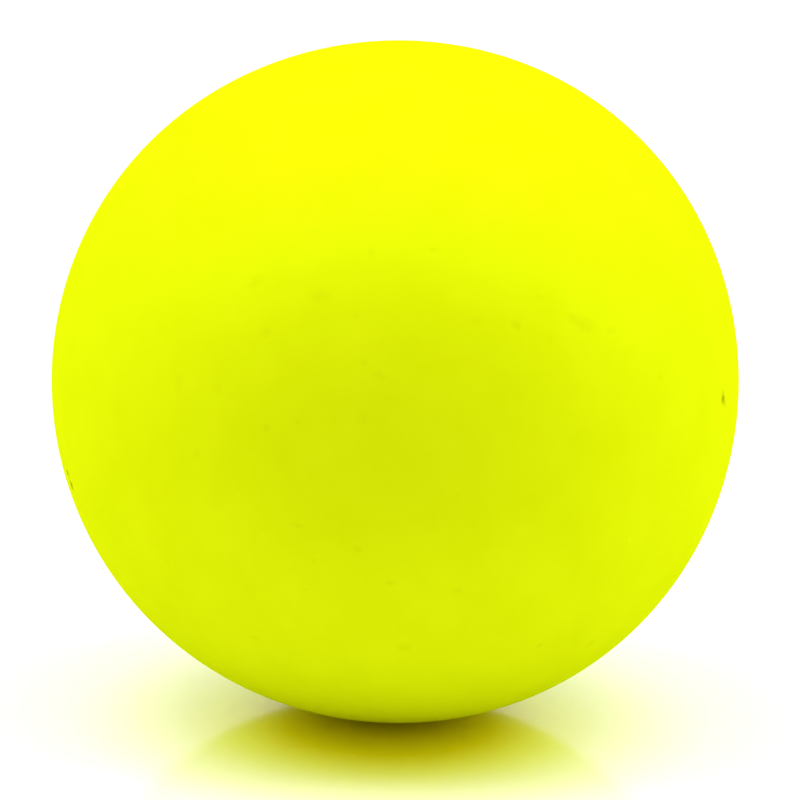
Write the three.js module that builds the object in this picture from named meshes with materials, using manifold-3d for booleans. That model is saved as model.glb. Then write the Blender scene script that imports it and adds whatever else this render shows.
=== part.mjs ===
// Petanque jack, the small target ball of the game, as it is made.
//
// A ball is turned from a stick of boxwood, with the grain along X. It dries after turning, so it ends a
// little slimmer across the grain than along it, and drum sanding leaves it faintly lobed. It then gets two
// coats of paint: a white undercoat, because fluorescent pigment is see-through and only shines over white,
// and the fluorescent yellow coat that shows. A few open pores near the ends of the grain are too deep for
// the paint to bridge, and stay open through both coats as small dark pits.
//
// Millimetres, +Z up. The origin is the point where the jack rests on the ground.

import * as THREE from 'three';
import { mergeVertices } from 'three/addons/utils/BufferGeometryUtils.js';
import Module from 'manifold-3d';

const wasm = await Module();
wasm.setup();

const { degToRad } = THREE.MathUtils;

// Painted ball
const jackLength = 30;   // along the grain
const jackGirth = 29.8;  // diameter across the grain

// Roundness left by drum sanding, seen from the front: three low swellings round the ball, and four between
// its axes. A height is how far a crest stands over the plain turned shape.
const threeLobeHeight = 0.04;
const threeLobeAngle = degToRad(55);
const fourLobeHeight = 0.06;
const fourLobeAngle = degToRad(46);

// Paint
const topcoatThickness = 0.1;
const undercoatThickness = 0.06;
const bondLine = 0.02;  // clearance between one layer and the next

// Open pores: the mouth in the paint, and how far a pore goes on into the wood
const poreLength = 0.62;
const poreWidth = 0.4;
const poreDepthInWood = 0.3;

// Where the pores are: degrees round from +X, degrees up, degrees that the long way leans from upright, and
// the share of the full size that each has
const pores = [
  { around: -19.3, up: 3.2, lean: 0, share: 1 },
  { around: -165.8, up: -13.2, lean: 45, share: 0.85 },
  { around: -164.9, up: -15.4, lean: 50, share: 0.8 },
];

// Facets: an even number of steps along each edge of the first icosahedron puts a corner on every axis
const ballSteps = 10;
const poreSteps = 4;

// How far under the painted surface each layer lies
const undercoatDepth = topcoatThickness + bondLine;
const woodDepth = undercoatDepth + undercoatThickness + bondLine;

// Distance from the ball's centre to its painted surface, in a given direction.
function paintedRadius(direction) {
  const { x, y, z } = direction;
  const along = x / (jackLength / 2);
  const across = Math.hypot(y, z) / (jackGirth / 2);
  const turned = 1 / Math.hypot(along, across);
  const reach = Math.hypot(x, z);
  const angle = Math.atan2(z, x);
  const threeLobes = threeLobeHeight * reach ** 3 * Math.cos(3 * (angle - threeLobeAngle));
  const fourLobes = fourLobeHeight * reach ** 4 * Math.cos(2 * (angle - fourLobeAngle)) ** 2;
  return turned + threeLobes + fourLobes;
}

// Turns a closed geometry into a solid that can be cut.
function solidOf(geometry) {
  geometry.deleteAttribute('normal');
  geometry.deleteAttribute('uv');
  const merged = mergeVertices(geometry);
  return new wasm.Manifold(new wasm.Mesh({
    numProp: 3,
    vertProperties: merged.attributes.position.array,
    triVerts: new Uint32Array(merged.index.array),
  }));
}

// The whole ball inside the surface that lies a given depth under the paint. Every depth uses the same grid
// of directions, so the layers stay parallel, facet for facet.
function ballAtDepth(depth) {
  const geometry = new THREE.IcosahedronGeometry(1, ballSteps - 1);
  const points = geometry.attributes.position;
  const direction = new THREE.Vector3();
  for (let i = 0; i < points.count; i += 1) {
    direction.fromBufferAttribute(points, i).normalize();
    direction.multiplyScalar(paintedRadius(direction) - depth);
    points.setXYZ(i, direction.x, direction.y, direction.z);
  }
  return solidOf(geometry);
}

// The space of one pore: an egg shape that points at the ball's centre, widest at the painted surface.
function poreSpace({ around, up, lean, share }) {
  const outward = new THREE.Vector3(
    Math.cos(degToRad(up)) * Math.cos(degToRad(around)),
    Math.cos(degToRad(up)) * Math.sin(degToRad(around)),
    Math.sin(degToRad(up)),
  );
  const geometry = new THREE.IcosahedronGeometry(1, poreSteps - 1);
  geometry.scale(share * poreWidth / 2, share * poreLength / 2, woodDepth + share * poreDepthInWood);
  geometry.rotateZ(degToRad(lean));
  const upright = new THREE.Matrix4().lookAt(outward, new THREE.Vector3(), new THREE.Vector3(0, 0, 1));
  geometry.applyMatrix4(upright);
  const mouth = outward.clone().multiplyScalar(paintedRadius(outward));
  geometry.translate(mouth.x, mouth.y, mouth.z);
  return solidOf(geometry);
}

const poreSpaces = pores.map(poreSpace);

// Opens every pore in a layer and gives the result back as a geometry.
function openPores(layer) {
  const cut = poreSpaces.reduce((solid, space) => solid.subtract(space), layer);
  const mesh = cut.getMesh();
  const geometry = new THREE.BufferGeometry();
  geometry.setAttribute('position', new THREE.BufferAttribute(mesh.vertProperties, 3));
  geometry.setIndex(new THREE.BufferAttribute(mesh.triVerts, 1));
  geometry.computeVertexNormals();
  return geometry;
}

// A coat of paint: the shell between two depths, with the pores open through it.
function coat(outsideDepth, thickness) {
  return openPores(ballAtDepth(outsideDepth).subtract(ballAtDepth(outsideDepth + thickness)));
}

// Boxwood ball, the body of the jack
const boxwood = new THREE.MeshStandardMaterial({ color: 0xd9b876, roughness: 0.6, metalness: 0 });
const woodenBall = new THREE.Mesh(openPores(ballAtDepth(woodDepth)), boxwood);
woodenBall.name = 'wooden_ball';

// White undercoat, bonded all over the wood
const whitePrimer = new THREE.MeshStandardMaterial({ color: 0xf4f3ee, roughness: 0.8, metalness: 0 });
const undercoat = new THREE.Mesh(coat(undercoatDepth, undercoatThickness), whitePrimer);
undercoat.name = 'white_undercoat';

// Fluorescent yellow coat, the surface that shows and that meets the ground
const yellowPaint = new THREE.MeshStandardMaterial({ color: 0xe6fa05, roughness: 0.5, metalness: 0 });
const topcoat = new THREE.Mesh(coat(0, topcoatThickness), yellowPaint);
topcoat.name = 'fluorescent_topcoat';

// The ball stands on the ground with its centre straight above the origin
const jack = new THREE.Group();
jack.add(woodenBall, undercoat, topcoat);
jack.position.z = paintedRadius(new THREE.Vector3(0, 0, -1));

export default jack;
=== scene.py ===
import math
import random

import bmesh
import bpy
import numpy as np
from mathutils import Matrix, Quaternion, Vector


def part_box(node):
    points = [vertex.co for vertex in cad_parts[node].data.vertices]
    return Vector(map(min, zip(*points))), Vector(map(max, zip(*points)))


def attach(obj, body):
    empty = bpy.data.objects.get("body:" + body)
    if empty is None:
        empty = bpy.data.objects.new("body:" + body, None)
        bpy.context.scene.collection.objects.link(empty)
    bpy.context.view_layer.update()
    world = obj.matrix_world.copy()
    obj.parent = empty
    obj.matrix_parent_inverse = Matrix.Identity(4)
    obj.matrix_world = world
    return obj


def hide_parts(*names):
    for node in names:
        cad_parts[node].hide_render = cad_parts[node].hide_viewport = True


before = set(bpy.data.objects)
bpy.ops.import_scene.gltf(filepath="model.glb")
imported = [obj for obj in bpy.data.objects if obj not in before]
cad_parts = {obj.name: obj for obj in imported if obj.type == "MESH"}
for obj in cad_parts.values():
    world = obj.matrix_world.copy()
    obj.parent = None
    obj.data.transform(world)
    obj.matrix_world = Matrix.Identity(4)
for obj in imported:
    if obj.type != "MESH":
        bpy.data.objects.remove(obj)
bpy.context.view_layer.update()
print("frame loaded")

mm = 0.001
micrometre = 0.001 * mm
coatLow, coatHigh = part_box("fluorescent_topcoat")

# The turned and painted ball. Lengths are in metres, angles in degrees seen from the front. The keys are
# also the names of the node trees' inputs.
ball = {
    "Length": coatHigh[0] - coatLow[0],  # along the grain
    "Girth": coatHigh[1] - coatLow[1],  # across the grain
    "Three Lobe Height": 0.04 * mm,  # swellings left by drum sanding
    "Three Lobe Angle": 55.0,
    "Four Lobe Height": 0.06 * mm,
    "Four Lobe Angle": 46.0,
}
meanRadius = (ball["Length"] + 2 * ball["Girth"]) / 6  # half the mean of its three diameters
straightDown = -90  # degrees, seen from the front


def radiusUnder():
    threeWave = math.cos(math.radians(3 * (straightDown - ball["Three Lobe Angle"])))
    fourWave = math.cos(math.radians(2 * (straightDown - ball["Four Lobe Angle"]))) ** 2
    return ball["Girth"] / 2 + ball["Three Lobe Height"] * threeWave + ball["Four Lobe Height"] * fourWave


ballCentre = Vector((0, 0, radiusUnder()))  # the ball stands on the origin

# How far under the painted surface each layer lies. The outsides are the CAD model's. The inside of each
# coat all but meets what is under it, as bonded paint does, where the CAD model leaves a small clearance.
layers = {
    "topcoatInside": 0.116 * mm,
    "undercoatOutside": 0.12 * mm,
    "undercoatInside": 0.196 * mm,
    "wood": 0.2 * mm,
}

# Where the photo is taken from. The mirror image in the floor gives the elevation and the roll.
photoView = {
    "elevation": 15.3,  # degrees above the horizon
    "roll": 1.14,  # degrees, right side of the camera up
    "distance": 0.4,  # metres from the ball
    "nearest": 0.01,  # metres, where the view starts
    "frameWidth": 800,  # pixels
    "ballWidth": 687.6,  # pixels
    "ballRight": -3.9,  # pixels from the middle of the frame
    "ballUp": 18.6,
    "sensor": 36.0,  # millimetres
}
photoElevation = math.radians(photoView["elevation"])
towardsCamera = Vector((0, -math.cos(photoElevation), math.sin(photoElevation)))
rollAbout = Quaternion(towardsCamera, math.radians(photoView["roll"]))
photoRight = rollAbout @ Vector((1, 0, 0))
photoUp = towardsCamera.cross(photoRight)


# Node helpers

def addNode(tree, kind, values=None, **settings):
    node = tree.nodes.new(kind)
    for name, value in settings.items():
        setattr(node, name, value)
    for key, value in (values or {}).items():
        feed(tree, node.inputs[key], value)
    return node


def feed(tree, socket, value):
    if isinstance(value, bpy.types.NodeSocket):
        tree.links.new(value, socket)
    else:
        socket.default_value = value


def maths(tree, operation, *values):
    node = addNode(tree, "ShaderNodeMath", dict(enumerate(values)), operation=operation)
    return node.outputs[0]


def vectorMaths(tree, operation, *values, output="Vector"):
    node = addNode(tree, "ShaderNodeVectorMath", dict(enumerate(values)), operation=operation)
    return node.outputs[output]


def scaled(tree, vector, factor):
    node = addNode(tree, "ShaderNodeVectorMath", {0: vector, "Scale": factor}, operation="SCALE")
    return node.outputs[0]


def newGeometryTree(name, sockets):
    tree = bpy.data.node_groups.new(name, "GeometryNodeTree")
    tree.interface.new_socket("Geometry", in_out="INPUT", socket_type="NodeSocketGeometry")
    tree.interface.new_socket("Geometry", in_out="OUTPUT", socket_type="NodeSocketGeometry")
    for socketName, kind in sockets.items():
        tree.interface.new_socket(socketName, in_out="INPUT", socket_type="NodeSocket" + kind)
    return tree, addNode(tree, "NodeGroupInput").outputs, addNode(tree, "NodeGroupOutput").inputs[0]


def useGroup(tree, group, values):
    node = addNode(tree, "GeometryNodeGroup", node_tree=group)
    for key, value in values.items():
        feed(tree, node.inputs[key], value)
    return node.outputs["Geometry"]


def passOn(given, sockets):
    return {name: given[name] for name in sockets}


def namedAttribute(tree, name, kind="FLOAT"):
    node = addNode(tree, "GeometryNodeInputNamedAttribute", {"Name": name}, data_type=kind)
    return node.outputs["Attribute"]


def storeAttribute(tree, geometry, name, value, domain="POINT"):
    values = {"Geometry": geometry, "Name": name, "Value": value}
    node = addNode(tree, "GeometryNodeStoreNamedAttribute", values, data_type="FLOAT", domain=domain)
    return node.outputs[0]


def unitBall(tree, subdivisions):
    values = {"Radius": 1.0, "Subdivisions": subdivisions}
    return addNode(tree, "GeometryNodeMeshIcoSphere", values).outputs["Mesh"]


def setInputs(modifier, values):
    for item in modifier.node_group.interface.items_tree:
        if item.in_out == "INPUT" and item.name in values:
            modifier[item.identifier] = values[item.name]


# Subdivisions of the ball that each surface starts as
fineness = {
    "topcoat": 7,
    "innerLayers": 6,
    "porePlug": 5,
}

# The noises that shape a surface
shapeNoise = {
    "detail": 2.0,
    "middle": 0.5,
    "raggedScale": 6.0 / mm,  # of the walls of a pore
}


# Turned surface: takes points on a ball of radius 1 and moves each out to the painted ball, less a depth

ballSockets = {name: "Float" for name in ball}
rippleSockets = {"Ripple Height": "Float", "Ripple Size": "Float", "Seed": "Float"}
noRipple = {"Ripple Size": 1.0}  # and its height stays 0


def makeTurnedSurface():
    sockets = dict(ballSockets, Depth="Float", **rippleSockets)
    tree, given, result = newGeometryTree("Turned surface", sockets)
    direction = vectorMaths(tree, "NORMALIZE", addNode(tree, "GeometryNodeInputPosition").outputs[0])
    parts = addNode(tree, "ShaderNodeSeparateXYZ", {0: direction}).outputs
    x, y, z = parts["X"], parts["Y"], parts["Z"]

    def hypotenuse(first, second):
        firstSquare = maths(tree, "MULTIPLY", first, first)
        secondSquare = maths(tree, "MULTIPLY", second, second)
        return maths(tree, "SQRT", maths(tree, "ADD", firstSquare, secondSquare))

    # plain turned shape, a little slimmer across the grain
    along = maths(tree, "DIVIDE", x, maths(tree, "MULTIPLY", given["Length"], 0.5))
    across = maths(tree, "DIVIDE", hypotenuse(y, z), maths(tree, "MULTIPLY", given["Girth"], 0.5))
    radius = maths(tree, "DIVIDE", 1.0, hypotenuse(along, across))

    # low swellings round it
    reach = hypotenuse(x, z)
    angle = maths(tree, "ARCTAN2", z, x)

    def wave(count, start):
        turned = maths(tree, "SUBTRACT", angle, maths(tree, "RADIANS", start))
        return maths(tree, "COSINE", maths(tree, "MULTIPLY", turned, count))

    def lobes(count, height, shape):
        fade = maths(tree, "POWER", reach, count)
        return maths(tree, "MULTIPLY", maths(tree, "MULTIPLY", fade, shape), height)

    threeWave = wave(3.0, given["Three Lobe Angle"])
    fourWave = maths(tree, "POWER", wave(2.0, given["Four Lobe Angle"]), 2.0)
    radius = maths(tree, "ADD", radius, lobes(3.0, given["Three Lobe Height"], threeWave))
    radius = maths(tree, "ADD", radius, lobes(4.0, given["Four Lobe Height"], fourWave))

    # slight unevenness of the sprayed surface
    rippleValues = {
        "Vector": direction,
        "W": given["Seed"],
        "Scale": maths(tree, "DIVIDE", 1.0, given["Ripple Size"]),
        "Detail": shapeNoise["detail"],
    }
    ripple = addNode(tree, "ShaderNodeTexNoise", rippleValues, noise_dimensions="4D").outputs[0]
    unevenness = maths(tree, "SUBTRACT", ripple, shapeNoise["middle"])
    radius = maths(tree, "ADD", radius, maths(tree, "MULTIPLY", unevenness, given["Ripple Height"]))

    inwards = maths(tree, "ADD", given["Depth"], namedAttribute(tree, "dip"))
    radius = maths(tree, "SUBTRACT", radius, inwards)
    place = vectorMaths(tree, "ADD", scaled(tree, direction, radius), tuple(ballCentre))
    moved = addNode(tree, "GeometryNodeSetPosition", {"Geometry": given["Geometry"], "Position": place})
    tree.links.new(moved.outputs[0], result)
    return tree


# Mark press: presses the mark at each point of another object into the surface, by adding to the attribute
# dip. A mark falls off as a bell curve along its long way and its short way.

def makeMarkPress():
    tree, given, result = newGeometryTree("Mark press", {"Marks": "Object"})
    marks = addNode(tree, "GeometryNodeObjectInfo", {"Object": given["Marks"]}).outputs["Geometry"]
    size = addNode(tree, "GeometryNodeAttributeDomainSize", {"Geometry": marks}, component="MESH")
    start = addNode(tree, "GeometryNodeRepeatInput")
    end = addNode(tree, "GeometryNodeRepeatOutput")
    start.pair_with_output(end)
    feed(tree, start.inputs["Iterations"], size.outputs["Point Count"])
    feed(tree, start.inputs["Geometry"], given["Geometry"])

    def ofMark(value, kind="FLOAT_VECTOR"):
        values = {"Geometry": marks, "Value": value, "Index": start.outputs["Iteration"]}
        node = addNode(tree, "GeometryNodeSampleIndex", values, data_type=kind, domain="POINT")
        return node.outputs["Value"]

    def dotProduct(first, second):
        return vectorMaths(tree, "DOT_PRODUCT", first, second, output="Value")

    position = addNode(tree, "GeometryNodeInputPosition").outputs[0]
    spot = ofMark(position)
    away = vectorMaths(tree, "SUBTRACT", position, spot)

    def squareAlong(name):
        axis = ofMark(namedAttribute(tree, name, "FLOAT_VECTOR"))
        return maths(tree, "POWER", maths(tree, "ABSOLUTE", dotProduct(away, axis)), 2.0)

    square = maths(tree, "ADD", squareAlong("longWay"), squareAlong("shortWay"))
    bell = maths(tree, "EXPONENT", maths(tree, "MULTIPLY", square, -1.0))
    sameSide = maths(tree, "GREATER_THAN", dotProduct(position, spot), 0.0)
    depth = ofMark(namedAttribute(tree, "press"), "FLOAT")
    press = maths(tree, "MULTIPLY", maths(tree, "MULTIPLY", bell, sameSide), depth)
    total = maths(tree, "ADD", namedAttribute(tree, "dip"), press)
    stored = storeAttribute(tree, start.outputs["Geometry"], "dip", total)
    feed(tree, end.inputs["Geometry"], stored)
    tree.links.new(end.outputs["Geometry"], result)
    return tree


# Pore plugs: the space of each open pore, to be cut out of the layers

def makePorePlugs(turnedSurface):
    tree, given, result = newGeometryTree("Pore plugs", dict(ballSockets, Raggedness="Float"))
    mouths = dict(passOn(given, ballSockets), Geometry=given["Geometry"], **noRipple)
    axes = {
        "Primary Axis": namedAttribute(tree, "outward", "FLOAT_VECTOR"),
        "Secondary Axis": namedAttribute(tree, "longWay", "FLOAT_VECTOR"),
    }
    turn = addNode(tree, "FunctionNodeAxesToRotation", axes, primary_axis="Z", secondary_axis="Y")
    eggs = {
        "Points": useGroup(tree, turnedSurface, mouths),
        "Instance": unitBall(tree, fineness["porePlug"]),
        "Rotation": turn.outputs[0],
        "Scale": namedAttribute(tree, "halfSize", "FLOAT_VECTOR"),
    }
    placed = addNode(tree, "GeometryNodeInstanceOnPoints", eggs).outputs["Instances"]
    solid = addNode(tree, "GeometryNodeRealizeInstances", {"Geometry": placed}).outputs[0]
    raggedValues = {
        "Vector": addNode(tree, "GeometryNodeInputPosition").outputs[0],
        "Scale": shapeNoise["raggedScale"],
        "Detail": shapeNoise["detail"],
    }
    wobble = addNode(tree, "ShaderNodeTexNoise", raggedValues).outputs["Color"]
    offset = vectorMaths(tree, "SUBTRACT", wobble, (shapeNoise["middle"],) * 3)
    shake = scaled(tree, offset, given["Raggedness"])
    ragged = addNode(tree, "GeometryNodeSetPosition", {"Geometry": solid, "Offset": shake}).outputs[0]
    tree.links.new(storeAttribute(tree, ragged, "pore", 1.0, "FACE"), result)
    return tree


# What every layer's tree has in common

layerSockets = dict(ballSockets, Pores="Object", Raggedness="Float", Finish="Material")
layerSockets["Outside Depth"] = "Float"


def poresOf(tree, given, porePlugs):
    points = addNode(tree, "GeometryNodeObjectInfo", {"Object": given["Pores"]}).outputs["Geometry"]
    values = dict(passOn(given, ballSockets), Geometry=points, Raggedness=given["Raggedness"])
    return useGroup(tree, porePlugs, values)


def finishLayer(tree, result, outside, cutters, finish):
    settings = {"operation": "DIFFERENCE", "solver": "MANIFOLD"}
    cut = addNode(tree, "GeometryNodeMeshBoolean", {"Mesh 1": outside}, **settings)
    for cutter in cutters:
        tree.links.new(cutter, cut.inputs["Mesh 2"])
    whole = addNode(tree, "GeometryNodeRealizeInstances", {"Geometry": cut.outputs["Mesh"]})
    smoothValues = {"Geometry": whole.outputs[0], "Shade Smooth": True}
    smooth = addNode(tree, "GeometryNodeSetShadeSmooth", smoothValues)
    finishValues = {"Geometry": smooth.outputs[0], "Material": finish}
    finished = addNode(tree, "GeometryNodeSetMaterial", finishValues)
    tree.links.new(finished.outputs[0], result)


# A coat of paint: the shell between two depths, with the pores open through it

def makePaintCoat(turnedSurface, markPress, porePlugs):
    sockets = dict(layerSockets, **rippleSockets, Thickness="Float", Marks="Object")
    tree, given, result = newGeometryTree("Paint coat", sockets)
    shape = passOn(given, ballSockets)
    ripple = passOn(given, rippleSockets)
    marked = useGroup(tree, markPress, {"Geometry": given["Geometry"], "Marks": given["Marks"]})
    outsideValues = dict(shape, Geometry=marked, Depth=given["Outside Depth"], **ripple)
    outside = useGroup(tree, turnedSurface, outsideValues)
    grid = unitBall(tree, fineness["innerLayers"])
    insideDepth = maths(tree, "ADD", given["Outside Depth"], given["Thickness"])
    inside = useGroup(tree, turnedSurface, dict(shape, Geometry=grid, Depth=insideDepth, **noRipple))
    finishLayer(tree, result, outside, [inside, poresOf(tree, given, porePlugs)], given["Finish"])
    return tree


# The wood: everything inside one depth, with the pores running on into it

def makeWoodenCore(turnedSurface, porePlugs):
    tree, given, result = newGeometryTree("Wooden core", layerSockets)
    values = dict(passOn(given, ballSockets), Geometry=given["Geometry"], **noRipple)
    outside = useGroup(tree, turnedSurface, dict(values, Depth=given["Outside Depth"]))
    finishLayer(tree, result, outside, [poresOf(tree, given, porePlugs)], given["Finish"])
    return tree


# Places on the ball

def directionFromAngles(around, up):
    around, up = math.radians(around), math.radians(up)
    return Vector((math.cos(up) * math.cos(around), math.cos(up) * math.sin(around), math.sin(up)))


# Where the photo's line of sight meets the ball, from millimetres in the plane through the ball's middle
def directionFromPhoto(right, up):
    eye = towardsCamera * photoView["distance"]
    sight = (photoRight * right * mm + photoUp * up * mm - eye).normalized()
    nearest = -sight.dot(eye)
    depth = math.sqrt(nearest ** 2 - eye.length_squared + meanRadius ** 2)
    return (eye + sight * (nearest - depth)).normalized()


def axesAt(outward, lean):
    across = Vector((0, 0, 1)).cross(outward).normalized()
    upwards = outward.cross(across)
    lean = math.radians(lean)
    longWay = upwards * math.cos(lean) - across * math.sin(lean)
    return longWay, longWay.cross(outward)


def pointsObject(name, rows):
    mesh = bpy.data.meshes.new(name)
    mesh.from_pydata([row["outward"] for row in rows], [], [])
    for key, value in rows[0].items():
        kind, entryName = ("FLOAT_VECTOR", "vector") if isinstance(value, Vector) else ("FLOAT", "value")
        layer = mesh.attributes.new(key, kind, "POINT")
        for entry, row in zip(layer.data, rows):
            setattr(entry, entryName, row[key])
    helper = bpy.data.objects.new(name, mesh)
    bpy.context.scene.collection.objects.link(helper)
    return helper


# Open pores near the ends of the grain: degrees round from +X, degrees up, degrees that the long way leans
# from upright, then length, width and depth in millimetres.
pores = [
    (-19, 3.1, 0, 0.43, 0.44, 0.3),
    (-165.6, -13.15, 45, 0.34, 0.36, 0.3),
    (-164.75, -15.2, 52, 0.44, 0.49, 0.3),
]

# Shallow marks that the photo shows: millimetres right of and above the ball's middle, then length and width
# in millimetres, lean in degrees and depth in micrometres. A negative depth is a grain of dust in the paint.
marksSeen = [
    (14.265, -0.55, 0.38, 0.27, 0, 16),  # two tails of the pore at the right
    (14.32, -0.95, 0.55, 0.3, 48, 10.5),
    (5.26, 2.4, 0.6, 0.5, 37, 5.3),
    (8.2, 2.42, 1.25, 0.8, 72, 4.7),
    (7.66, 2.76, 0.52, 0.5, 0, 3.8),
    (3.45, 2.6, 0.95, 0.6, 76, 3.6),
    (-3.24, 3.67, 1.15, 0.85, 76, 3.9),
    (-6.25, 4.15, 0.75, 0.45, 110, 3.4),
    (-6, 4.5, 0.7, 0.42, 100, 3.2),
    (-5.71, 2.14, 0.62, 0.62, 0, 4.3),
    (-0.73, 0.21, 0.72, 0.52, 85, 4.4),
    (-1.42, 0.78, 0.62, 0.42, 10, 3.5),
    (-5.66, -2.06, 0.52, 0.5, 0, 4),
    (-4.31, -1.8, 0.38, 0.35, 0, 3.4),
    (-1.45, -1.62, 0.95, 0.7, 151, 3.3),
    (-9.49, -0.1, 1.05, 0.62, 0, 3.6),
    (-7.8, -0.35, 0.8, 0.72, 20, 3.1),
    (-1.08, 5.6, 0.8, 0.5, 5, 3.4),
    (-3.57, 6.64, 0.32, 0.3, 0, 4.8),
    (11.55, 0.17, 0.42, 0.26, 90, 4.3),
    (-1.69, -7.39, 0.46, 0.4, 80, 4.9),
    (-0.24, -8.83, 0.54, 0.36, 90, 4.6),
    (2.68, -9.14, 0.6, 0.46, 129, 4.2),
    (0.37, -11.63, 0.78, 0.66, 96, 5.2),
    (8.45, -11.45, 0.75, 0.62, 0, 5.2),
    (6.27, -11.54, 0.42, 0.38, 90, 5.3),
    (-12.79, -5.6, 0.29, 0.3, 0, 5.7),
    (6.31, 3.62, 0.8, 0.45, 70, 2.8),
    (-3.92, -9.14, 0.36, 0.28, 90, 3.8),
    (1.63, 5.72, 0.58, 0.35, 90, 3.9),
    (-6.14, -11.24, 0.62, 0.36, 90, 4.9),
    (-4.31, -6.34, 0.9, 0.36, 90, 3.6),
    (-9.95, -7.91, 0.36, 0.25, 0, 3.8),
    (-3.57, -7.91, 0.46, 0.34, 0, 3.6),
    (-1.77, 2.84, 0.46, 0.42, 0, 3.1),
    (-8.68, -3.19, 0.7, 0.42, 0, 3.5),
    (6.75, 1.79, 0.62, 0.35, 0, 3.2),
    (9.41, 2.22, 0.7, 0.45, 90, 3.8),
    (-6.91, -4.98, 0.16, 0.12, 0, -6),
    (10.18, -6.94, 0.17, 0.13, 0, -9),
    (2.68, -4.72, 0.2, 0.14, 60, -6),
]

# The same kinds of mark, at random, over the rest of the ball
marksUnseen = {
    "count": 60,
    "seed": 11,
    "length": (0.32, 0.9),  # millimetres
    "narrow": (0.45, 1.0),  # width as a share of the length
    "depth": (3, 6),  # micrometres
    "dustShare": 0.15,
    "dustLength": (0.14, 0.2),
    "seenFrom": 0.15,  # cosine of the angle to the camera from which the photo's own list counts
}

# The paint sinks a little round each open pore.
poreLip = {
    "spread": 1.3,  # size as a multiple of the pore's
    "depth": 9,  # micrometres
}

# A grid's facets get finer, ring within ring, round each mark and pore.
fineRings = (1.6, 1.1, 0.7)  # multiples of a mark's reach
allRings = len(fineRings)
smallMark = 0.5  # millimetres; a longer mark does without the last ring
poreReach = 0.5 * mm / meanRadius  # a share of the ball's radius, as every reach is


def poreRow(around, up, lean, length, width, depth):
    outward = directionFromAngles(around, up)
    longWay = axesAt(outward, lean)[0]
    return {"outward": outward, "longWay": longWay, "halfSize": Vector((width / 2, length / 2, depth)) * mm}


def markRow(outward, length, width, lean, depth):
    longWay, shortWay = axesAt(outward, lean)
    return {
        "outward": outward,
        "longWay": longWay * meanRadius / (length / 2 * mm),
        "shortWay": shortWay * meanRadius / (width / 2 * mm),
        "press": depth * micrometre,
        "reach": length * mm / meanRadius,
        "rings": allRings if length < smallMark else allRings - 1,
    }


def lipRow(around, up, lean, length, width):
    spread = poreLip["spread"]
    return markRow(directionFromAngles(around, up), length * spread, width * spread, lean, poreLip["depth"])


def randomMarks():
    pick = random.Random(marksUnseen["seed"])
    rows = []
    while len(rows) < marksUnseen["count"]:
        outward = directionFromAngles(pick.uniform(-180, 180), math.degrees(math.asin(pick.uniform(-1, 1))))
        dust = pick.random() < marksUnseen["dustShare"]
        length = pick.uniform(*marksUnseen["dustLength" if dust else "length"])
        width = length * pick.uniform(*marksUnseen["narrow"])
        depth = pick.uniform(*marksUnseen["depth"]) * (-1 if dust else 1)
        row = markRow(outward, length, width, pick.uniform(0, 180), depth)
        if outward.dot(towardsCamera) < marksUnseen["seenFrom"]:
            rows.append(row)
    return rows


poreRows = [poreRow(*pore) for pore in pores]
markRows = [markRow(directionFromPhoto(right, up), *rest) for right, up, *rest in marksSeen]
markRows += randomMarks()
markRows += [lipRow(*pore[:-1]) for pore in pores]
poresObject = pointsObject("pores", poreRows)
marksObject = pointsObject("marks", markRows)
poreSpots = [(row["outward"], poreReach, allRings) for row in poreRows]
markSpots = [(row["outward"], row["reach"], row["rings"]) for row in markRows]
print("placed", len(markRows), "marks and", len(poreRows), "pore spaces")


# A ball of radius 1 with finer facets at the given spots
def directionGrid(name, subdivisions, spots):
    grid = bmesh.new()
    bmesh.ops.create_icosphere(grid, subdivisions=subdivisions, radius=1)
    for step, ring in enumerate(fineRings):
        corners = np.array([corner.co[:] for corner in grid.verts])
        near = np.zeros(len(corners), dtype=bool)
        for outward, reach, rings in spots:
            if rings > step:
                near |= np.linalg.norm(corners - np.array(outward), axis=1) < reach * ring
        edges = [edge for edge in grid.edges if near[edge.verts[0].index] and near[edge.verts[1].index]]
        bmesh.ops.subdivide_edges(grid, edges=edges, cuts=1, use_grid_fill=True)
        bmesh.ops.triangulate(grid, faces=[face for face in grid.faces if len(face.verts) > 3])
        for corner in grid.verts:
            corner.co.normalize()
        grid.verts.index_update()
    mesh = bpy.data.meshes.new(name)
    grid.to_mesh(mesh)
    grid.free()
    blank = bpy.data.objects.new(name, mesh)
    bpy.context.scene.collection.objects.link(blank)
    return blank


# Materials. A texture is given as its scale in a millimetre and its detail. Heights and depths are in
# micrometres.

noiseSpan = (0.3, 0.7)  # nearly all of a noise lies between these


def newMaterial(name):
    material = bpy.data.materials.new(name)
    material.use_nodes = True
    tree = material.node_tree
    return material, tree, tree.nodes["Principled BSDF"]


def objectCoordinates(tree, stretch=(1, 1, 1)):
    coordinates = addNode(tree, "ShaderNodeTexCoord").outputs["Object"]
    return addNode(tree, "ShaderNodeMapping", {"Vector": coordinates, "Scale": stretch}).outputs["Vector"]


def noise(tree, vector, perMillimetre, detail, roughness=0.5):
    values = {"Vector": vector, "Scale": perMillimetre / mm, "Detail": detail, "Roughness": roughness}
    return addNode(tree, "ShaderNodeTexNoise", values).outputs["Fac"]


def mapped(tree, value, fromLow, fromHigh, low, high):
    values = {"Value": value, "From Min": fromLow, "From Max": fromHigh, "To Min": low, "To Max": high}
    return addNode(tree, "ShaderNodeMapRange", values).outputs["Result"]


def blend(tree, share, first, second):
    node = addNode(tree, "ShaderNodeMix", data_type="RGBA")
    feed(tree, node.inputs["Factor"], share)
    feed(tree, node.inputs["A"], first)
    feed(tree, node.inputs["B"], second)
    return node.outputs["Result"]


def surfaceAttribute(tree, name):
    return addNode(tree, "ShaderNodeAttribute", attribute_name=name).outputs["Fac"]


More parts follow.
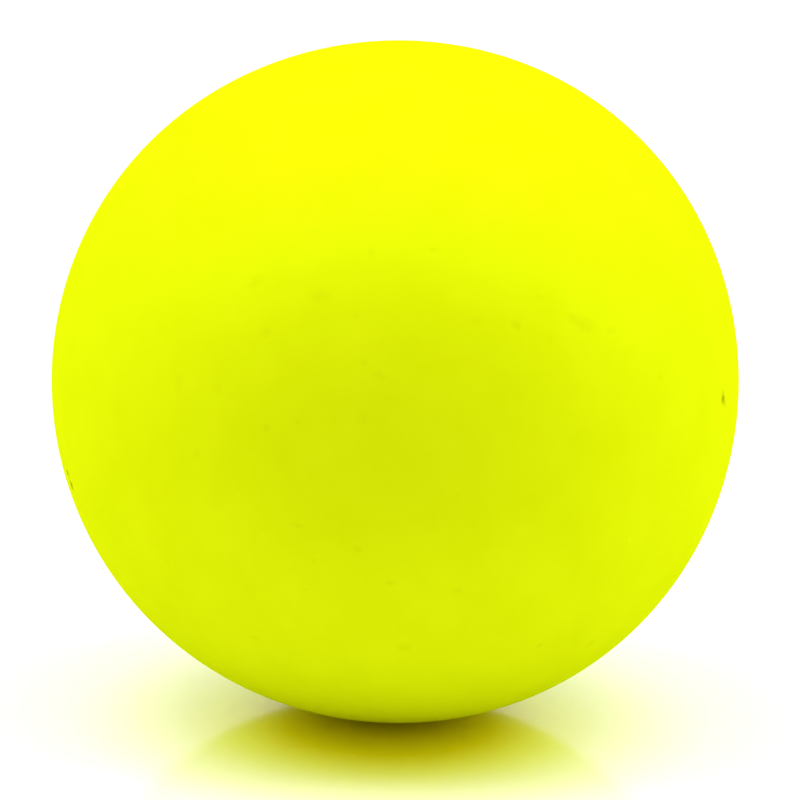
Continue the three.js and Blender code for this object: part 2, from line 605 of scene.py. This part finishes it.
# 1 for what is seen directly, in a reflection or through glass, and 0 for the light that falls on things
def seenShare(tree):
    rays = addNode(tree, "ShaderNodeLightPath").outputs
    direct = maths(tree, "MAXIMUM", rays["Is Camera Ray"], rays["Is Glossy Ray"])
    return maths(tree, "MAXIMUM", direct, rays["Is Transmission Ray"])


def setRoughness(tree, shader, vector, finish):
    patches = noise(tree, vector, *finish["roughnessPatches"])
    feed(tree, shader.inputs["Roughness"], mapped(tree, patches, *noiseSpan, *finish["roughness"]))


# Each relief is a texture and its height.
def setBump(tree, shader, *reliefs):
    height = 0.0
    for texture, micrometres in reliefs:
        part = maths(tree, "MULTIPLY", texture, micrometres * micrometre)
        height = maths(tree, "ADD", height, part)
    bump = addNode(tree, "ShaderNodeBump", {"Strength": 1.0, "Distance": 1.0, "Height": height})
    tree.links.new(bump.outputs["Normal"], shader.inputs["Normal"])


# Fluorescent yellow paint: soft satin, a little cloudy, darker in its dips and on the walls of the open
# pores
yellow = {
    "colour": (0.79, 0.925, 0.002, 1),
    "thinColour": (0.815, 0.95, 0.003, 1),
    "clouds": (0.35, 3.0),
    "cloudEdges": (0.35, 0.65),
    # painted highlight: over a grain of dust the paint turns paler, fully at the dip given below
    "paintedHighlightOnDust": (0.88, 1.0, 0.01, 1),
    "highlightOnDustTop": -9,
    "darkColour": (0.37, 0.345, 0.002, 1),
    "darkInDips": 0.8,
    "darkInPores": 0.12,
    "darkPatches": (4.0, 2.0),
    "darkShares": (0.5, 1.4),  # how unevenly it lies
    "darkeningStartDip": 1.4,
    "darkestDip": 30,
    "roughness": (0.45, 0.6),
    "roughnessPatches": (1.3, 3.0),
    "satin": 0.08,  # share of the light that the coloured sheen takes
    "satinEdge": (1, 1, 0.02, 1),
    "plainSheen": 0.0,
    "peel": (2.4, 2.0),  # orange peel of the spray
    "peelHeight": 4.8,
    "grain": (3.2, 3.0),  # grain of the wood coming through
    "grainStretch": (0.15, 1, 1),
    "grainHeight": 3.6,
}


def makeYellowPaint():
    material, tree, shader = newMaterial("Fluorescent yellow paint")
    plain = objectCoordinates(tree)
    alongGrain = objectCoordinates(tree, yellow["grainStretch"])

    clouds = mapped(tree, noise(tree, plain, *yellow["clouds"]), *yellow["cloudEdges"], 0, 1)
    colour = blend(tree, clouds, yellow["colour"], yellow["thinColour"])
    dip = maths(tree, "DIVIDE", surfaceAttribute(tree, "dip"), micrometre)
    # painted highlight on each grain of dust, paler the higher the grain stands
    dust = mapped(tree, dip, 0, yellow["highlightOnDustTop"], 0, 1)
    colour = blend(tree, dust, colour, yellow["paintedHighlightOnDust"])

    # the paint turns darker in its dips, more the deeper the dip and unevenly from patch to patch, and a
    # little darker on the walls of the open pores
    patches = mapped(tree, noise(tree, plain, *yellow["darkPatches"]), *noiseSpan, *yellow["darkShares"])
    inDip = mapped(tree, dip, yellow["darkeningStartDip"], yellow["darkestDip"], 0, yellow["darkInDips"])
    inPore = maths(tree, "MULTIPLY", surfaceAttribute(tree, "pore"), yellow["darkInPores"])
    darkening = maths(tree, "MAXIMUM", maths(tree, "MULTIPLY", inDip, patches), inPore)
    feed(tree, shader.inputs["Base Color"], blend(tree, darkening, colour, yellow["darkColour"]))

    setRoughness(tree, shader, plain, yellow)
    shader.inputs["Metallic"].default_value = yellow["satin"]
    shader.inputs["Specular IOR Level"].default_value = yellow["plainSheen"]
    shader.inputs["Specular Tint"].default_value = yellow["satinEdge"]
    peel = noise(tree, plain, *yellow["peel"])
    grain = noise(tree, alongGrain, *yellow["grain"])
    setBump(tree, shader, (peel, yellow["peelHeight"]), (grain, yellow["grainHeight"]))
    return material


# White primer: flat and chalky, cut back with fine paper, stained where a pore opens it
primer = {
    "colour": (0.86, 0.85, 0.8, 1),
    "rubbedColour": (0.78, 0.76, 0.7, 1),
    "stain": (0.7, 0.65, 0.005, 1),
    "roughness": (0.75, 0.9),
    "roughnessPatches": (3.0, 2.0),
    "sheen": 0.05,
    "scratches": (4.0, 3.0, 0.7),  # the last is the noise's roughness
    "scratchStretch": (6, 0.6, 1.5),
    "scratchEdges": (0.45, 0.75),
    "scratchHeight": 2.0,
    "chalk": (12.0, 2.0),
    "chalkHeight": 1.0,
}


def makeWhitePrimer():
    material, tree, shader = newMaterial("White primer")
    plain = objectCoordinates(tree)
    scratches = noise(tree, objectCoordinates(tree, primer["scratchStretch"]), *primer["scratches"])
    rubbed = mapped(tree, scratches, *primer["scratchEdges"], 0, 1)
    colour = blend(tree, rubbed, primer["colour"], primer["rubbedColour"])
    colour = blend(tree, surfaceAttribute(tree, "pore"), colour, primer["stain"])
    feed(tree, shader.inputs["Base Color"], colour)
    setRoughness(tree, shader, plain, primer)
    shader.inputs["Specular IOR Level"].default_value = primer["sheen"]
    chalk = noise(tree, plain, *primer["chalk"])
    setBump(tree, shader, (scratches, primer["scratchHeight"]), (chalk, primer["chalkHeight"]))
    return material


# Boxwood: fine growth rings round a pith that lies outside the ball, with tiny vessels along the grain
wood = {
    "early": (0.72, 0.5, 0.2, 1),
    "late": (0.52, 0.32, 0.1, 1),
    "stain": (0.62, 0.55, 0.005, 1),
    "pith": (0, 9 * mm, -21 * mm),
    "pithStretch": (0.02, 1, 1),
    "ringsPerMetre": 900.0,
    "lateSharpness": 4.0,
    "wander": (0.12, 2.0),
    "wanderWidth": 1.6 * mm,
    "roughness": (0.62, 0.75),
    "roughnessPatches": (2.0, 2.0),
    "sheen": 0.3,
    "grain": (4.0, 3.0),
    "grainStretch": (0.06, 1, 1),
    "grainHeight": 3.0,
    "vessels": (9.0, 1.0),
    "vesselEdges": (0.66, 0.72),
    "vesselColour": (0.3, 0.17, 0.05, 1),
    "vesselShare": 0.8,
    "vesselHeight": -6.0,
}


def makeBoxwood():
    material, tree, shader = newMaterial("Boxwood")
    plain = objectCoordinates(tree)
    alongGrain = objectCoordinates(tree, wood["grainStretch"])
    fromPith = vectorMaths(tree, "SUBTRACT", objectCoordinates(tree, wood["pithStretch"]), wood["pith"])
    distance = vectorMaths(tree, "LENGTH", fromPith, output="Value")
    wander = maths(tree, "MULTIPLY", noise(tree, alongGrain, *wood["wander"]), wood["wanderWidth"])
    years = maths(tree, "MULTIPLY", maths(tree, "ADD", distance, wander), wood["ringsPerMetre"])
    late = maths(tree, "POWER", maths(tree, "FRACT", years), wood["lateSharpness"])
    colour = blend(tree, late, wood["early"], wood["late"])
    vessels = noise(tree, alongGrain, *wood["vessels"])
    inVessel = mapped(tree, vessels, *wood["vesselEdges"], 0, wood["vesselShare"])
    colour = blend(tree, inVessel, colour, wood["vesselColour"])
    colour = blend(tree, surfaceAttribute(tree, "pore"), colour, wood["stain"])
    feed(tree, shader.inputs["Base Color"], colour)
    setRoughness(tree, shader, plain, wood)
    shader.inputs["Specular IOR Level"].default_value = wood["sheen"]
    grain = noise(tree, alongGrain, *wood["grain"])
    setBump(tree, shader, (vessels, wood["vesselHeight"]), (grain, wood["grainHeight"]))
    return material


# Pieces

turnedSurface = makeTurnedSurface()
markPress = makeMarkPress()
porePlugs = makePorePlugs(turnedSurface)
paintCoat = makePaintCoat(turnedSurface, markPress, porePlugs)
woodenCore = makeWoodenCore(turnedSurface, porePlugs)
sharpAngle = 45  # degrees; sharper edges, as at the mouth of a pore, stay sharp
raggedness = 0.05 * mm  # alike in every layer, so that the wall of a pore is one surface


def makePiece(name, subdivisions, spots, tree, values, node):
    blank = directionGrid(name + "_blank", subdivisions, spots)
    modifier = blank.modifiers.new("turned", "NODES")
    modifier.node_group = tree
    setInputs(modifier, dict(ball, **values))
    evaluated = blank.evaluated_get(bpy.context.evaluated_depsgraph_get())
    mesh = bpy.data.meshes.new_from_object(evaluated)
    mesh.name = name
    mesh.materials.pop(index=0)  # the empty slot that the cut leaves
    for attribute in ("outward", "longWay", "halfSize"):
        mesh.attributes.remove(mesh.attributes[attribute])
    mesh.set_sharp_from_angle(angle=math.radians(sharpAngle))
    piece = bpy.data.objects.new(name, mesh)
    bpy.context.scene.collection.objects.link(piece)
    bpy.data.objects.remove(blank)
    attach(piece, "root")
    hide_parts(node)
    print(name, "has", len(mesh.polygons), "faces")


yellowCoat = {
    "Outside Depth": 0.0,
    "Thickness": layers["topcoatInside"],
    "Ripple Height": 0.008 * mm,
    "Ripple Size": 0.11,  # share of the ball's radius
    "Seed": 3.0,
    "Raggedness": raggedness,
    "Pores": poresObject,
    "Marks": marksObject,
    "Finish": makeYellowPaint(),
}
makePiece("fluorescent_yellow_coat", fineness["topcoat"], poreSpots + markSpots, paintCoat, yellowCoat,
          "fluorescent_topcoat")

primerCoat = {
    "Outside Depth": layers["undercoatOutside"],
    "Thickness": layers["undercoatInside"] - layers["undercoatOutside"],
    "Raggedness": raggedness,
    "Pores": poresObject,
    "Finish": makeWhitePrimer(),
    **noRipple,
}
makePiece("white_primer_coat", fineness["innerLayers"], poreSpots, paintCoat, primerCoat,
          "white_undercoat")

turnedWood = {
    "Outside Depth": layers["wood"],
    "Raggedness": raggedness,
    "Pores": poresObject,
    "Finish": makeBoxwood(),
}
makePiece("turned_boxwood_ball", fineness["innerLayers"], poreSpots, woodenCore, turnedWood,
          "wooden_ball")
for helper in (poresObject, marksObject):
    bpy.data.objects.remove(helper)


# Floor, light and camera

studio = {
    "floorSize": 6,  # metres
    "floorColour": 0.905,  # for the light that falls on it
    "floorSeen": 1.25,  # its own colour as the camera sees it
    "floorShine": 0.12,  # roughness
    "ambient": 0.4,  # for the light that comes from all round
    "backdropSeen": 1.0,  # the same, as the camera sees it
}

# The ball's yellow light on the floor, painted into the floor's colour: shares of green and blue left, by
# distance in millimetres from a point a little in front of the contact.
paintedSpillMiddle = Vector((0, -2.5, 0)) * mm
paintedYellowSpill = [
    (0, 0.8, 0.0),
    (4.5, 0.83, 0.01),
    (5.5, 0.88, 0.08),
    (6.5, 0.94, 0.19),
    (7.5, 0.97, 0.32),
    (8.5, 0.98, 0.49),
    (9.5, 0.98, 0.64),
    (11, 0.99, 0.78),
    (12.5, 1.0, 0.91),
    (14, 1.0, 1.0),
]


def makeFloor():
    bpy.ops.mesh.primitive_plane_add(size=studio["floorSize"])
    floor = bpy.context.object
    floor.name = "studio_floor"
    material, tree, shader = newMaterial("Glossy white floor")
    reach = paintedYellowSpill[-1][0]
    away = vectorMaths(tree, "SUBTRACT", objectCoordinates(tree), tuple(paintedSpillMiddle))
    distance = vectorMaths(tree, "LENGTH", away, output="Value")
    # painted yellow light from the ball, strongest near the contact
    tint = addNode(tree, "ShaderNodeValToRGB", {"Fac": maths(tree, "DIVIDE", distance, reach * mm)})
    stops = tint.color_ramp.elements
    for spill in paintedYellowSpill[1:-1]:
        stops.new(spill[0] / reach)
    for stop, spill in zip(stops, paintedYellowSpill):
        stop.color = (1, *spill[1:], 1)
    brightness = mapped(tree, seenShare(tree), 0, 1, studio["floorColour"], studio["floorSeen"])
    feed(tree, shader.inputs["Base Color"], scaled(tree, tint.outputs["Color"], brightness))
    shader.inputs["Roughness"].default_value = studio["floorShine"]
    floor.data.materials.append(material)


# Name, place in metres, width, height and brightness of each lamp
lamps = [
    ("overhead_softbox", (0, 0, 0.35), 0.4, 0.3, 0.337),
    ("overhead_left_softbox", (-0.22, 0, 0.3), 0.25, 0.3, 0.495),
    ("overhead_right_softbox", (0.22, 0, 0.3), 0.25, 0.3, 0.454),
    ("left_card", (-0.3, 0, 0.12), 0.25, 0.24, 0.155),
    ("left_rear_card", (-0.25, 0.2, 0.12), 0.2, 0.24, 0.059),
    ("right_card", (0.3, 0, 0.12), 0.25, 0.24, 0.244),
    ("right_rear_card", (0.25, 0.2, 0.12), 0.2, 0.24, 0.07),
]
wattsPerArea = 4 * math.pi  # at a brightness of 1


def makeLamps():
    for name, place, width, height, brightness in lamps:
        data = bpy.data.lights.new(name, "AREA")
        data.shape = "RECTANGLE"
        data.size = width
        data.size_y = height
        data.energy = brightness * wattsPerArea * width * height
        lamp = bpy.data.objects.new(name, data)
        bpy.context.scene.collection.objects.link(lamp)
        lamp.location = place
        lamp.rotation_euler = (ballCentre - Vector(place)).to_track_quat("-Z", "Y").to_euler()


def makeWorld():
    world = bpy.data.worlds.new("studio")
    bpy.context.scene.world = world
    world.use_nodes = True
    tree = world.node_tree
    background = tree.nodes["Background"]
    background.inputs["Color"].default_value = (1, 1, 1, 1)
    strength = mapped(tree, seenShare(tree), 0, 1, studio["ambient"], studio["backdropSeen"])
    feed(tree, background.inputs["Strength"], strength)


# The ball is as wide in the picture, and in the same place, as in the photo.
def makeCamera():
    data = bpy.data.cameras.new("camera")
    camera = bpy.data.objects.new("camera", data)
    bpy.context.scene.collection.objects.link(camera)
    halfView = math.tan(math.asin(ball["Length"] / 2 / photoView["distance"]))
    pixel = halfView * photoView["distance"] * 2 / photoView["ballWidth"]
    aim = ballCentre - photoRight * photoView["ballRight"] * pixel - photoUp * photoView["ballUp"] * pixel
    axes = Matrix((photoRight, photoUp, towardsCamera)).transposed()
    camera.matrix_world = Matrix.Translation(aim + towardsCamera * photoView["distance"]) @ axes.to_4x4()
    data.sensor_width = photoView["sensor"]
    data.lens = photoView["ballWidth"] / 2 / halfView / photoView["frameWidth"] * photoView["sensor"]
    data.clip_start = photoView["nearest"]
    bpy.context.scene.camera = camera


makeFloor()
makeLamps()
makeWorld()
makeCamera()
bpy.context.scene.view_settings.view_transform = "Standard"
print("studio set up")
